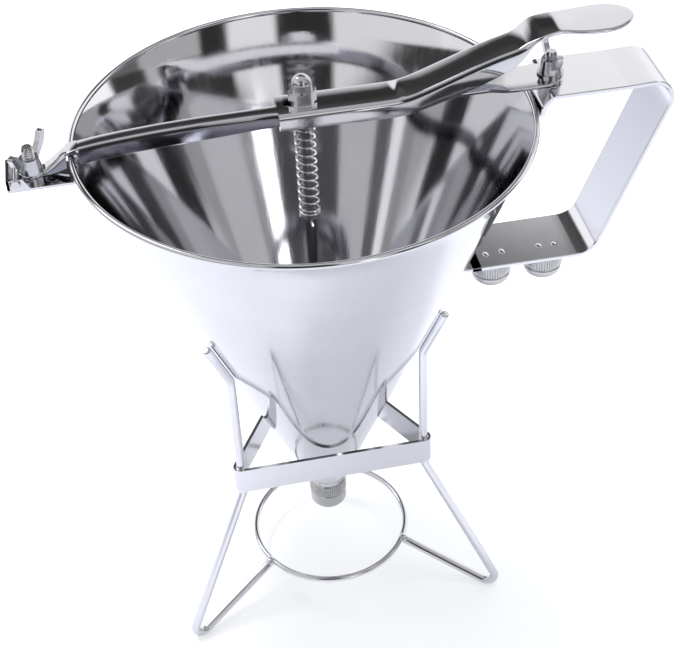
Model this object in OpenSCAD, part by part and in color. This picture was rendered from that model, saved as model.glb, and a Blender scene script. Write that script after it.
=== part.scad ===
// Pancake batter dispenser: a steel cone funnel with a sprung thumb lever, standing in a wire stand.
// +X runs along the crossbar to the handle, +Z is up, the floor is z = 0.
// The origin is on the floor, under the middle of the outline.

/* [Funnel] */
// Outside diameter over the rolled rim
rim_d = 190; // [186:1:196]
// Thickness of the rolled rim bead
bead_d = 2.4; // [2:0.1:3]
// Height of the rim bead's centre above the floor
rim_z = 260; // [258:0.5:262]
// Outside radius of the cone's narrow end
tip_r = 9.1; // [8.8:0.1:9.4]
// Height of the cone's narrow end above the floor
tip_z = 56; // [54.5:0.5:57.5]
// Wall of the cone
wall = 1; // [0.8:0.1:1.2]
// Outside diameter of the outlet tube
tube_d = 17.5; // [17:0.1:17.8]
// Wall of the outlet tube
tube_wall = 1; // [0.8:0.1:1.2]

/* [Nozzles] */
// Outside diameter of a screw-on nozzle
nozzle_d = 18.2; // [17.9:0.1:19]
// Height of a nozzle
nozzle_h = 16; // [15:0.5:17]
// Height of the wider grip band round the nozzle's open end
grip_h = 7; // [6:0.5:8]
// Pouring hole of a nozzle
pour_d = 10; // [7:0.5:11]
// Distance of the inner spare nozzle from the funnel axis
spare_x = 80.5; // [79:0.5:82]
// Spacing of the two spare nozzles
spare_pitch = 24; // [22:0.5:25]

/* [Handle] */
// Width of the handle strip
strip_w = 30.4; // [26:0.2:32]
// Thickness of the handle strip
strip_t = 2; // [1.6:0.1:2.2]
// Height of the handle's flat top above the rim line
top_rise = 6.4; // [6:0.1:7]
// Reach of the grip's upper end beyond the rim
grip_top_out = 60.6; // [58:0.1:64]
// Reach of the grip's lower end beyond the rim
grip_low_out = 28.3; // [25:0.1:31]
// Height of the underside of the handle's lower leg
leg_z = 181; // [179:0.5:183]

/* [Crossbar] */
// Width of the crossbar channel
bar_w = 8; // [7:0.2:9]
// Half width of the crossbar where it is flat
bar_flat = 9; // [8.5:0.1:9.5]
// Sheet thickness of the crossbar
bar_t = 1.6; // [1.2:0.1:1.7]
// Distance of the left clamp stud outside the rim
left_stud_out = 15; // [14.5:0.5:16]
// Distance of the right clamp stud outside the rim
right_stud_out = 8; // [7.5:0.5:10]
// Diameter of the clamp studs
stud_d = 5; // [4:0.5:5]
// Half span of a wing nut
wing_span = 12.5; // [11:0.5:13.5]
// Height of a wing nut's blades over its seat
wing_h = 12.5; // [11:0.5:13]

/* [Lever] */
// Half width of the lever channel
lever_half = 8.8; // [8.4:0.1:9.2]
// Sheet thickness of the lever
lever_t = 1.5; // [1.2:0.1:1.6]
// Where the lever bends and rocks on the crossbar, from the funnel axis
rock_x = 41; // [39:0.5:43]
// Rise of the lever's thumb side
rise = 19; // [17:0.5:20]
// Half width of the thumb tab
tab_half = 11; // [9.5:0.5:12]
// Where the thumb tab ends, from the funnel axis
tab_end = 136; // [132:1:140]

/* [Valve] */
// Diameter of the valve rod
rod_d = 4; // [3.6:0.1:4.2]
// Outside diameter of the return spring
spring_od = 9.2; // [8.8:0.1:10]
// Wire of the return spring
spring_wire = 1; // [0.8:0.1:1.2]
// Coils of the return spring
spring_turns = 12; // [9:1:14]
// Length of the return spring between its seats
spring_len = 51; // [46:0.5:53]
// Width across the flats of the domed nut
dome_af = 10; // [8:0.5:10]

/* [Stand] */
// Outer side of the triangular band, between its sharp corners
band_side = 98.5; // [98:0.5:102]
// Height of the band strip
band_h = 14; // [10:0.5:16]
// Thickness of the band strip
band_t = 1.5; // [1.2:0.1:1.8]
// Height of the band's top edge above the floor
band_z = 95; // [92:0.5:96]
// Diameter of the leg rods
leg_d = 4; // [3.6:0.1:4.4]
// Radius of the circle that the feet stand on
foot_r = 84.2; // [80:0.2:90]
// Height of the leg tips above the floor
prong_z = 173; // [166:1:178]
// Radius of the wire ring, at its middle
ring_r = 37.9; // [36:0.1:40]
// Diameter of the ring's wire
ring_d = 2.8; // [2.4:0.1:3.2]
// Height of the ring above the floor
ring_z = 19.1; // [16:0.1:23]

/* [Hidden] */
$fn = 64;

run_gap = 0.05;    // radial play of a turning or sliding fit
rest_gap = 0.3;    // space between parts that only lie near each other
hole_gap = 0.5;    // radial room of a clearance hole
rod_r = rod_d / 2;

function unit(v) = v / norm(v);
function near(a) = a > 180 ? a - 360 : a < -180 ? a + 360 : a;

// The cone's outside radius at a height
edge_x = rim_d / 2;
top_z = rim_z + top_rise;
grip_top_x = edge_x + grip_top_out;
grip_low_x = edge_x + grip_low_out;
left_stud_x = edge_x + left_stud_out;
right_stud_x = edge_x + right_stud_out;
rim_r = rim_d / 2 - bead_d / 2;
slope = (rim_r - 0.3 - tip_r) / (rim_z - tip_z);
function cone_r(z) = tip_r + slope * (z - tip_z);
lean = atan(slope);
wall_x = wall / cos(lean);

// A corner of a bent strip or rod in its own plane: an arc of radius r between two straights
function corner(a, p, b, r, n = 8) =
    let (ua = unit(a - p), ub = unit(b - p), half = acos(max(-1, min(1, ua * ub))) / 2,
         c = p + unit(ua + ub) * r / sin(half),
         s = p + ua * r / tan(half) - c, e = p + ub * r / tan(half) - c,
         a0 = atan2(s[1], s[0]), da = near(atan2(e[1], e[0]) - a0))
    r == 0 ? [p] : [for (i = [0 : n]) c + r * [cos(a0 + da * i / n), sin(a0 + da * i / n)]];
function rounded(pts, radii, n = 8) = [for (i = [0 : len(pts) - 1])
    each (i == 0 || i == len(pts) - 1 ? [pts[i]] : corner(pts[i - 1], pts[i], pts[i + 1], radii[i], n))];

// A path moved sideways by d, to its left
function beside(path, d) = [for (i = [0 : len(path) - 1])
    let (last = len(path) - 1, j = max(i, 1), k = min(i, last - 1),
         a = unit(path[j] - path[j - 1]), b = unit(path[k + 1] - path[k]), m = unit(a + b))
    path[i] + [-m[1], m[0]] * d / (m * a)];
function back(list) = [for (i = [len(list) - 1 : -1 : 0]) list[i]];

// Draws what follows on the funnel's axis
module on_axis() translate([axis_x, 0, 0]) children();

// A slab across Y, w wide, from an outline drawn in X and Z
module across(w) rotate([90, 0, 0]) linear_extrude(w, center = true) children();

// A bent strip whose left side is the path
module strip(path, t, w) across(w) polygon(concat(path, back(beside(path, -t))));

// Joins rings of equal, even length into a closed skin; each end is closed across, first point to last
module skin(rings) {
    n = len(rings[0]);
    m = len(rings);
    polyhedron(points = [for (r = rings) each r],
        faces = concat(
            [for (i = [0 : n / 2 - 2]) each [[i, i + 1, n - 2 - i], [i, n - 2 - i, n - 1 - i]]],
            [for (i = [0 : n / 2 - 2]) let (e = (m - 1) * n)
                each [[e + n - 2 - i, e + i + 1, e + i], [e + n - 1 - i, e + n - 2 - i, e + i]]],
            [for (j = [0 : m - 2], i = [0 : n - 1]) let (a = j * n, b = a + n, k = (i + 1) % n)
                each [[a + i, b + i, b + k], [a + i, b + k, a + k]]]), convexity = 10);
}

// A round wire along a path of points, its ends square to the given end directions
function wire_ring(p, t, u, r, n) = let (a = unit(u - t * (u * t)), b = cross(t, a))
    [for (i = [0 : n - 1]) p + r * (a * cos(360 * i / n) + b * sin(360 * i / n))];
module wire(path, r, n, up) {
    last = len(path) - 1;
    skin([for (i = [0 : last]) let (a = unit(path[max(i, 1)] - path[max(i, 1) - 1]),
        b = unit(path[min(i, last - 1) + 1] - path[min(i, last - 1)]))
        wire_ring(path[i], unit(a + b), up[i], r, n)]);
}

// ---- Funnel ----

tube_r = tube_d / 2;
thread_r = tube_r - 0.6;
tube_bore = thread_r - tube_wall;
nozzle_z = 37;
nozzle_r = nozzle_d / 2;
nozzle_top = nozzle_z + nozzle_h;
tube_end = nozzle_z + 3.5;

module funnel_cone() color("silver") on_axis() rotate_extrude($fn = 96) {
    polygon([[cone_r(tip_z) - wall_x, tip_z], [cone_r(tip_z), tip_z],
             [cone_r(rim_z), rim_z], [cone_r(rim_z) - wall_x, rim_z]]);
    translate([rim_r, rim_z]) circle(d = bead_d, $fn = 24);
}

module outlet_tube() color("silver") on_axis() rotate_extrude() polygon([
    [tube_bore, tube_end], [thread_r - 0.5, tube_end], [thread_r, tube_end + 0.5],
    [thread_r, nozzle_top + rest_gap],
    [tube_r, nozzle_top + rest_gap], [tube_r, tip_z], [tube_bore, tip_z]]);

// ---- Nozzles: a cup with a grip band, a groove and a rounded nose ----

module nozzle() {
    groove = 0.5;
    nose = 2.6;
    neck = nozzle_r - 0.35;
    difference() {
        rotate_extrude() polygon(concat(
            [[0, 0], [pour_d / 2 + 1.2, 0]],
            [for (i = [0 : 6]) [neck - nose + nose * sin(15 * i), nose - nose * cos(15 * i)]],
            [[neck, nozzle_h - grip_h - 0.9], [neck - groove, nozzle_h - grip_h - 0.5],
             [neck - groove, nozzle_h - grip_h - 0.1], [nozzle_r, nozzle_h - grip_h + 0.5],
             [nozzle_r, nozzle_h - 0.5], [nozzle_r - 0.5, nozzle_h], [0, nozzle_h]]));
        translate([0, 0, -1]) cylinder(d = pour_d, h = nozzle_h);
        translate([0, 0, 3]) cylinder(r = thread_r + run_gap, h = nozzle_h);
    }
}

module nozzle_fitted() color("gainsboro") on_axis() translate([0, 0, nozzle_z]) nozzle();

hang_z = leg_z - nozzle_h - 0.4;
module spare(x) on_axis() translate([x, 0, hang_z]) nozzle();
module spare_inner() color("gainsboro") spare(spare_x);
module spare_outer() color("gainsboro") spare(spare_x + spare_pitch);

// A threaded cup under the lower leg that holds a spare nozzle
module hanger(x) on_axis() translate([x, 0, leg_z - 11]) difference() {
    cylinder(r = thread_r, h = 11);
    translate([0, 0, -1]) cylinder(r = tube_bore, h = 11);
}
module stud_inner() color("silver") hanger(spare_x);
module stud_outer() color("silver") hanger(spare_x + spare_pitch);

// ---- Handle: one strip bent into a loop, with a flange on the cone at each end ----

flange_z = rim_z - 18;
flange_top = rim_z - 4.5;
tab_z = leg_z + 24;
handle_path = rounded([
    [cone_r(flange_top - 3) - 0.6, flange_top - 3], [cone_r(flange_top) + 0.1, flange_top],
    [edge_x + 0.1, rim_z - 1.3], [edge_x + 0.3, rim_z + 1.4], [edge_x + 5, top_z], [edge_x + 37, top_z],
    [grip_top_x - 10.5, top_z + 1.1], [grip_top_x, top_z + 0.9], [grip_low_x, leg_z],
    [cone_r(leg_z) - 3, leg_z]], [0, 2.6, 0.5, 3, 3, 3, 3, 6.6, 9, 0]);
handle_in = back(beside(handle_path, -strip_t));
x_right = max([for (p = handle_path) p[0]]);

// A curved plate on the cone's outside, between two heights
module cone_plate(z0, z1, t, w) intersection() {
    rotate_extrude($fn = 96) polygon([[cone_r(z0), z0], [cone_r(z0) + t, z0],
                                     [cone_r(z1) + t, z1], [cone_r(z1), z1]]);
    translate([0, -w / 2, z0 - 1]) cube([rim_d, w, z1 - z0 + 2]);
}

module handle() color("silver") on_axis() {
    cone_plate(flange_z, flange_top, strip_t, strip_w);
    cone_plate(leg_z + 1, tab_z, strip_t, strip_w);
    difference() {
        across(strip_w) polygon(concat(handle_path, handle_in));
        rotate_extrude($fn = 96) polygon([[0, leg_z - 5], [cone_r(leg_z - 5), leg_z - 5],
            [cone_r(rim_z), rim_z], [0, rim_z]]);
    }
}

// ---- Clamp at the left: bracket, pin, stud, washers ----

lip_x = -left_stud_x - 10;
floor_z = rim_z - 9.5;
floor_t = 1.2;
bracket_half = 8;
x_left = lip_x;
axis_x = -(x_left + x_right) / 2;

module clamp_bracket() color("silver") on_axis() difference() {
    union() {
        translate([lip_x, -bracket_half, floor_z])
            cube([-lip_x - cone_r(floor_z) + 3, 2 * bracket_half, floor_t]);
        translate([lip_x, -bracket_half, floor_z]) cube([floor_t, 2 * bracket_half, 6]);
        for (s = [-1, 1]) translate([0, s * (bracket_half - floor_t / 2), 0]) across(floor_t)
            polygon([[lip_x, floor_z], [lip_x, floor_z + 5.6], [lip_x + 8, floor_z + 6.5],
                     [lip_x + 22, floor_z + 6.1], [lip_x + 30, floor_z + 4.9], [lip_x + 30, floor_z - 3],
                     [lip_x + 24, floor_z]]);
    }
    rotate_extrude($fn = 96) polygon([[0, rim_z - 20], [cone_r(rim_z - 20), rim_z - 20],
        [cone_r(rim_z), rim_z], [0, rim_z]]);
    translate([pin_x, 0, pin_z]) rotate([90, 0, 0]) cylinder(d = pin_d, h = 30, center = true);
}

pin_x = lip_x + 3.6;
pin_z = floor_z + 4.1;
pin_d = 2.4;
module bracket_pin() color("silver") on_axis() translate([pin_x, 0, pin_z]) rotate([90, 0, 0]) {
    cylinder(d = pin_d, h = 2 * bracket_half, center = true);
    for (s = [-1, 1]) scale([1, 1, s]) translate([0, 0, bracket_half]) cylinder(d1 = 4.6, d2 = 3.4, h = 1.2);
}

left_foot = floor_z + floor_t;
left_top = left_foot + 14.3;
bar_seat = left_foot + 1.7;
bar_top = top_z + bar_t;
right_seat = bar_top + 1;
module left_stud() color("silver") on_axis() translate([-left_stud_x, 0, left_foot])
    stud(left_top - left_foot);
module right_stud() color("silver") on_axis() translate([right_stud_x, 0, top_z])
    stud(right_seat - top_z + 9.4);
module stud(h) {
    cylinder(d = stud_d, h = h - 0.6);
    translate([0, 0, h - 0.6]) cylinder(d1 = stud_d, d2 = stud_d - 1.2, h = 0.6);
}
module washer(x, z, t, bore, od) on_axis() translate([x, 0, z]) difference() {
    cylinder(d = od, h = t);
    translate([0, 0, -1]) cylinder(d = bore, h = t + 2);
}
module left_washer() color("silver")
    washer(-left_stud_x, left_foot, bar_seat - left_foot, stud_d + 0.6, 11);
module right_washer() color("silver") washer(right_stud_x, bar_top, right_seat - bar_top, stud_d + 0.6, 11);

// ---- Wing nuts ----

// A closed outline with every corner rounded
function soft(pts, r, n = 6) = [for (i = [0 : len(pts) - 1]) let (m = len(pts))
    each corner(pts[(i + m - 1) % m], pts[i], pts[(i + 1) % m], r, n)];

hub_h = 6;
module wing_nut() difference() {
    union() {
        cylinder(d1 = 9.6, d2 = 8, h = hub_h);
        for (s = [0, 180]) rotate([0, 0, s]) across(2.4) polygon(soft([
            [3.4, 1], [5.8, 3.8], [wing_span - 2.2, wing_h - 5.2], [wing_span, wing_h],
            [wing_span - 3.4, wing_h], [wing_span - 5.4, wing_h - 3.4], [3.4, hub_h - 0.4]], 0.9));
    }
    translate([0, 0, -1]) cylinder(r = stud_d / 2 + run_gap, h = hub_h + 2);
}
module left_wing_nut() color("gainsboro") on_axis() translate([-left_stud_x, 0, bar_seat + bar_t])
    rotate([0, 0, 58]) wing_nut();
module right_wing_nut() color("gainsboro") on_axis() translate([right_stud_x, 0, right_seat])
    rotate([0, 0, 90]) wing_nut();

// ---- Crossbar: a folded channel that opens out into a flat strip ----

// The outline of a folded channel at x: top height, half width, depth, fold radius, sheet
function channel(x, top, half, depth, fold, t) = let (r = min(fold, depth * 0.5), q = max(r - t, 0.12), n = 4)
    back(concat([[x, -half, top - depth]],
        [for (i = [0 : n]) let (a = 180 - 90 * i / n) [x, -half + r + r * cos(a), top - r + r * sin(a)]],
        [for (i = [0 : n]) let (a = 90 - 90 * i / n) [x, half - r + r * cos(a), top - r + r * sin(a)]],
        [[x, half, top - depth], [x, half - t, top - depth]],
        [for (i = [0 : n]) let (a = 90 * i / n) [x, half - t - q + q * cos(a), top - t - q + q * sin(a)]],
        [for (i = [0 : n]) let (a = 90 + 90 * i / n)
            [x, -half + t + q + q * cos(a), top - t - q + q * sin(a)]],
        [[x, -half + t, top - depth]]));

lever_left = -10.8;
bar_half = bar_w / 2;
bar_neck = lever_half - lever_t - rest_gap - 0.2;
bar_end = right_stud_x + 5;
bar_fold = 2.2;
// x, drop of the top below the flat, half width, depth
bar_fall = bar_top - bar_seat - bar_t;
bar_rows = [
    [-edge_x - 9.4, 0.938, bar_half, 2.3], [-edge_x - 7, 0.823, bar_half, 3.4],
    [-edge_x - 5, 0.692, bar_half, 4.6], [-edge_x - 3, 0.554, bar_half, 5.8],
    [-edge_x - 1, 0.431, bar_half, 6.8], [-edge_x + 1, 0.362, bar_half, 7],
    [-edge_x + 3, 0.323, bar_half, 7.2], [-edge_x + 10, 0.238, bar_half, 7.4],
    [-edge_x + 20, 0.162, bar_half, 7.5], [-edge_x + 35, 0.077, bar_half, 7.5],
    [-edge_x + 53, 0.023, bar_half, 7.4], [-18, 0, bar_half, 6.4], [lever_left + 0.4, 0, bar_half + 0.4, 6],
    [-5.5, 0, bar_neck - 0.1, 5.2], [3, 0, bar_neck, 4.4], [14, 0.002, bar_neck - 0.5, bar_t + 0.4]];
bar_plan = [[12, bar_neck - 1], [15, bar_neck], [76, bar_neck], [83, bar_flat], [bar_end - 8, bar_flat],
    [bar_end - 4, bar_flat * 0.92], [bar_end - 1.5, bar_flat * 0.7], [bar_end, bar_flat * 0.3]];
tongue_rows = [[-5.2, 1.2], [-4.6, 2.4], [-3.4, 3.9], [-1.7, 4.9], [0, 5.2], [1.7, 4.9], [3.4, 3.95],
    [6.8, bar_half - 0.1]];
notch_z = rim_z + bead_d / 2 + rest_gap;
rim_notch = [[-edge_x - 1.2, rim_z - 10], [-edge_x + 5, rim_z - 10],
    [-edge_x + 4, notch_z], [-edge_x - 0.6, notch_z]];

module crossbar() color("silver") on_axis() difference() {
    union() {
        skin([for (r = bar_rows) channel(r[0], bar_top - bar_fall * r[1], r[2], r[3], bar_fold, bar_t)]);
        skin([for (r = bar_plan) slab(r[0], bar_top, r[1], bar_t)]);
        skin([for (r = tongue_rows) slab(-left_stud_x + r[0], bar_seat + bar_t, r[1], bar_t)]);
    }
    across(30) polygon(rim_notch);
    translate([0, 0, bar_top - 10]) cylinder(r = rod_d / 2 + run_gap, h = 20);
    translate([-left_stud_x, 0, bar_seat - 1]) cylinder(r = stud_d / 2 + hole_gap, h = 2.6);
    translate([right_stud_x, 0, bar_top - 10]) cylinder(r = stud_d / 2 + hole_gap, h = 20);
}

// ---- Thumb lever: a folded channel that rocks on the crossbar ----

lever_z = bar_top + 0.2 + lever_t;
// x, rise of the top, half width, depth
lever_rows = [
    [lever_left, 0, lever_half, 7.1], [20, 0, lever_half, 7.5], [34, 0, lever_half, 7.7],
    [38, 0.15, lever_half, 7.8], [42, 0.8, lever_half, 8], [46, 1.9, lever_half, 8.2],
    [50, 3.3, lever_half, 8.5], [56, 5.5, lever_half, 8.9], [64, 8.5, lever_half, 9.4],
    [71, 11.1, lever_half, 9.5], [79, 13.7, lever_half, 8.7], [85, 15.3, lever_half, 7.5],
    [88, 16.2, lever_half, 6.3], [90.5, 17.9, lever_half, 4.4], [92.5, 19.3, lever_half, 2.8]];
// x, rise of the top, half width
tab_rows = [
    [91.2, 18.1, lever_half + 0.25], [93, 19.45, lever_half + 0.4], [95.5, 20.75, lever_half + 0.5],
    [99, 21.5, lever_half], [104.5, 22.2, lever_half - 0.3], [107, 22, lever_half],
    [111, 21.6, lever_half + 0.9],
    [116, 21.5, tab_half - 0.5], [tab_end - 13, 21.6, tab_half], [tab_end - 8, 21.7, tab_half - 0.9],
    [tab_end - 4.5, 21.9, tab_half - 2.8], [tab_end - 2, 22.1, tab_half - 5],
    [tab_end, 22.2, tab_half - 8.6]];
function slab(x, top, half, t) = [[x, -half, top], [x, -half, top - t], [x, half, top - t], [x, half, top]];
slot_half = rod_r + hole_gap;
module thumb_lever() color("silver") on_axis() difference() {
    union() {
        skin([for (r = lever_rows) channel(r[0], lever_z + r[1], r[2], r[3], 2.4, lever_t)]);
        skin([for (r = tab_rows) slab(r[0], lever_z + r[1], r[2], lever_t)]);
    }
    for (x = [-5.5, 3.5]) translate([x, 0, lever_z - 5]) cylinder(r = slot_half, h = 10);
    translate([-5.5, 0.01 - slot_half, lever_z - 5]) cube([9, 2 * slot_half - 0.02, 10]);
}

// ---- Valve: rod, domed nut, spring and its seat, cotter pin, plug ----

nut_z = lever_z + 0.1;
rod_top = nut_z + 6.4;
spring_top = bar_top - bar_t;
spring_low = spring_top - spring_len;
seat_t = 1.4;
pin_hole_z = spring_low - seat_t - 1;
plug_z = tip_z + 1;
plug_h = 11;

module plunger_rod() color("silver") on_axis() difference() {
    translate([0, 0, plug_z + plug_h]) cylinder(r = rod_r, h = rod_top - plug_z - plug_h);
    translate([0, 0, pin_hole_z]) rotate([90, 0, 0]) cylinder(r = 0.7, h = 10, center = true, $fn = 24);
}
module valve_plug() color("silver") on_axis() translate([0, 0, plug_z]) {
    gap = wall_x + 0.1;
    rotate_extrude() polygon([[0, 0], [cone_r(plug_z) - gap, 0], [cone_r(plug_z + 6) - gap, 6],
        [cone_r(plug_z + 6) - gap - 1, 7], [rod_r + 1.5, plug_h], [0, plug_h]]);
}
module acorn_nut() color("silver") on_axis() translate([0, 0, nut_z]) {
    hex_h = 5.7;
    dome_r = dome_af * 0.425;
    difference() {
        union() {
            intersection() {
                cylinder(d = dome_af / cos(30), h = hex_h, $fn = 6);
                cylinder(r1 = dome_af / 2 + 7, r2 = dome_af / 2 - 0.2, h = hex_h + 0.6);
            }
            translate([0, 0, hex_h]) rotate_extrude() polygon(concat([[0, 0]],
                [for (i = [0 : 10]) [dome_r * cos(9 * i), 2.6 * (i > 0 ? 1 : 0) + dome_r * sin(9 * i)]]));
        }
        translate([0, 0, -1]) cylinder(r = rod_r + 0.01, h = rod_top - nut_z + 1.05);
    }
}
module spring_washer() color("silver") washer(0, spring_low - seat_t, seat_t, rod_d + 0.2, spring_od);
module cotter_pin() color("silver") on_axis() {
    r = 0.55;
    bent = rounded([[-5.6, -1.6], [-4.6, 0], [5, 0], [6, -2]], [0, 1, 1, 0], 3);
    path = [for (p = bent) [0, p[0], pin_hole_z + p[1]]];
    wire(path, r, 8, [for (p = path) [1, 0, 0]]);
}

// The return spring: one wire, wound in even coils between two upright ends
spring_r = (spring_od - spring_wire) / 2;
coil_z = 2 * spring_wire;
coil_rise = (spring_len - 2 * coil_z) / spring_turns;
coil_n = 8;
coil_count = spring_turns * coil_n;
turn_in = asin(spring_wire / spring_r);
spring_half = [for (i = [0 : 3]) let (a = 30 * i, y = spring_wire * (1 - cos(a)))
    [sqrt(spring_r * spring_r - y * y), y, spring_wire * (1 + sin(a))]];
spring_path = concat([[spring_r, 0, 0]], spring_half,
    [for (i = [1 : coil_count - 1]) let (a = turn_in + (360 * spring_turns - 2 * turn_in) * i / coil_count)
        [spring_r * cos(a), spring_r * sin(a), coil_z + coil_rise * i / coil_n]],
    [for (p = back(spring_half)) [p[0], -p[1], spring_len - p[2]]], [[spring_r, 0, spring_len]]);
spring_gap = min([for (i = [0 : len(spring_path) - 1], j = [i + coil_n - 3 : 1 : len(spring_path) - 1])
    norm(spring_path[i] - spring_path[j]) - spring_wire]);
echo(spring_gap = spring_gap);
module rod_spring() color("silver") on_axis() translate([0, 0, spring_low])
    wire(spring_path, spring_wire / 2, 6, [for (p = spring_path) [p[0], p[1], 0]]);

// ---- Stand: a triangular band, three bent legs and a wire ring ----

leg_r = leg_d / 2;
band_in = band_side / (2 * tan(60)) - band_t;
nest_r = leg_r + run_gap;
leg_x = 2 * (band_in - nest_r);
prong_off = (leg_r + rest_gap) / cos(lean);
bend_z = tip_z + (leg_x - prong_off - tip_r) / slope;
leg_angles = [210, 330, 90];

function triangle(inner, r) = soft([for (a = leg_angles) 2 * inner * [cos(a), sin(a)]], r, 8);
module stand_band() color("silver") on_axis() translate([0, 0, band_z - band_h]) difference() {
    linear_extrude(band_h) polygon(triangle(band_in + band_t, nest_r + band_t));
    translate([0, 0, -1]) linear_extrude(band_h + 2) polygon(triangle(band_in, nest_r));
}
// The foot is an arc that touches the floor, with the leg and the wire back to the ring as its tangents
foot_bend = 5;
foot_c = [foot_r - 2.5, leg_r + foot_bend];
knee = [leg_x, band_z - band_h - 2];
hub = [ring_r, ring_z];
function turned(v, a) = [v[0] * cos(a) - v[1] * sin(a), v[0] * sin(a) + v[1] * cos(a)];
to_knee = -turned(unit(foot_c - knee), asin(foot_bend / norm(foot_c - knee)));
to_hub = -turned(unit(foot_c - hub), -asin(foot_bend / norm(foot_c - hub)));
foot = foot_c - unit(to_knee + to_hub) * foot_bend / sin(acos(to_knee * to_hub) / 2);
module leg(a) on_axis() rotate([0, 0, a]) {
    flat_path = rounded([[cone_r(prong_z) + prong_off, prong_z], [leg_x, bend_z], knee, foot,
        hub + to_hub * -(ring_d / 2 + 0.02)], [0, 6, 6, foot_bend, 0], 6);
    path = [for (p = flat_path) [p[0], 0, p[1]]];
    wire(path, leg_r, 12, [for (p = path) [0, 1, 0]]);
}
module leg_left() color("silver") leg(leg_angles[0]);
module leg_right() color("silver") leg(leg_angles[1]);
module leg_rear() color("silver") leg(leg_angles[2]);
module stand_ring() color("silver") on_axis() translate([0, 0, ring_z])
    rotate_extrude($fn = 96) translate([ring_r, 0]) circle(d = ring_d, $fn = 24);

funnel_cone();
outlet_tube();
clamp_bracket();
bracket_pin();
left_stud();
handle();
right_stud();
stud_inner();
stud_outer();
crossbar();
left_washer();
right_washer();
left_wing_nut();
right_wing_nut();
thumb_lever();
plunger_rod();
acorn_nut();
rod_spring();
spring_washer();
cotter_pin();
valve_plug();
nozzle_fitted();
spare_inner();
spare_outer();
stand_band();
leg_left();
leg_right();
leg_rear();
stand_ring();
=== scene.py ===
"""Looks for a pancake batter dispenser: polished steel cone, sprung thumb lever and wire stand.

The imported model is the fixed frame. Lengths are in metres, colours are linear.
"""

import math

import bmesh
import bpy
from mathutils import Matrix, Vector


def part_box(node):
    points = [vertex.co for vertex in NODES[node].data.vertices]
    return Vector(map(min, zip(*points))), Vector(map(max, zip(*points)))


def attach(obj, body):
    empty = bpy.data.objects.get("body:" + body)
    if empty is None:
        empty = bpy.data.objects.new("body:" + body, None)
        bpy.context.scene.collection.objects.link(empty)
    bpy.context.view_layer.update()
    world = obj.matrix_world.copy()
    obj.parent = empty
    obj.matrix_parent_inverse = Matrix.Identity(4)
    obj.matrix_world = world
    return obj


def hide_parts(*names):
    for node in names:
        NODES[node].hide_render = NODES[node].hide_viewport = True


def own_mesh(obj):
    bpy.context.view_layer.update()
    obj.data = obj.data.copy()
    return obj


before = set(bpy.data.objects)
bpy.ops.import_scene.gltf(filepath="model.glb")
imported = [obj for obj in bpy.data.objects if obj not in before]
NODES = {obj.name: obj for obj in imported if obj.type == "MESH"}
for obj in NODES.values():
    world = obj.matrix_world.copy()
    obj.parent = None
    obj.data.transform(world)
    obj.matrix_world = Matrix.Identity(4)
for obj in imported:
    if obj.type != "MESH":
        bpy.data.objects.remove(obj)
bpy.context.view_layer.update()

bl_info = {
    "name": "Batter Dispenser Looks",
    "version": (1, 0, 0),
    "blender": (4, 5, 0),
    "location": "3D View > Sidebar > Dispenser",
    "description": "Dresses the packed batter dispenser in polished steel, knurls and threads",
    "category": "Object",
}

ROD_LOW, ROD_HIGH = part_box("plunger_rod")
AXIS_X = (ROD_LOW.x + ROD_HIGH.x) / 2
MM = 0.001


def at(x, y, z):
    """A point given in millimetres from the funnel's axis, as a place in the frame."""
    return Vector((x * MM + AXIS_X, y * MM, z * MM))


# ---- Shader helpers ----


class Sock:
    """A shader socket that can be used in Python expressions."""

    def __init__(self, tree, link):
        self.tree, self.link = tree, link

    def _maths(self, operation, *values):
        return node(self.tree, "ShaderNodeMath", {"operation": operation}, dict(enumerate(values)))

    def __add__(self, other): return self._maths("ADD", self, other)
    def __radd__(self, other): return self._maths("ADD", other, self)
    def __sub__(self, other): return self._maths("SUBTRACT", self, other)
    def __rsub__(self, other): return self._maths("SUBTRACT", other, self)
    def __mul__(self, other): return self._maths("MULTIPLY", self, other)
    def __rmul__(self, other): return self._maths("MULTIPLY", other, self)
    def __truediv__(self, other): return self._maths("DIVIDE", self, other)
    def __pow__(self, other): return self._maths("POWER", self, other)


def node(tree, kind, settings=None, values=None, out=0):
    """Adds a node, sets its settings, then the values or links of its sockets; gives its output."""
    made = tree.nodes.new(kind)
    for key, value in (settings or {}).items():
        if key == "stops":
            ramp = made.color_ramp
            while len(ramp.elements) < len(value):
                ramp.elements.new(0.5)
            for element, (place, colour) in zip(ramp.elements, value):
                element.position, element.color = place, (*colour, 1) if len(colour) == 3 else colour
        else:
            setattr(made, key, value)
    for key, value in (values or {}).items():
        if isinstance(value, Sock):
            tree.links.new(value.link, made.inputs[key])
        else:
            made.inputs[key].default_value = value
    return Sock(tree, made.outputs[out])


def mixed(tree, factor, a, b):
    """Two colours mixed; each is a colour or a socket."""
    a, b = [c if isinstance(c, Sock) else (*c[:3], 1) for c in (a, b)]
    return node(tree, "ShaderNodeMix", {"data_type": "RGBA"}, {0: factor, 6: a, 7: b}, out=2)


def new_tree(name):
    """A new material with an empty node tree."""
    material = bpy.data.materials.new(name)
    material.use_nodes = True
    tree = material.node_tree
    tree.nodes.clear()
    return material, tree


def finish_tree(tree, shader):
    """Links the shader to a material output."""
    output = tree.nodes.new("ShaderNodeOutputMaterial")
    tree.links.new(shader.link, output.inputs["Surface"])


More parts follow.
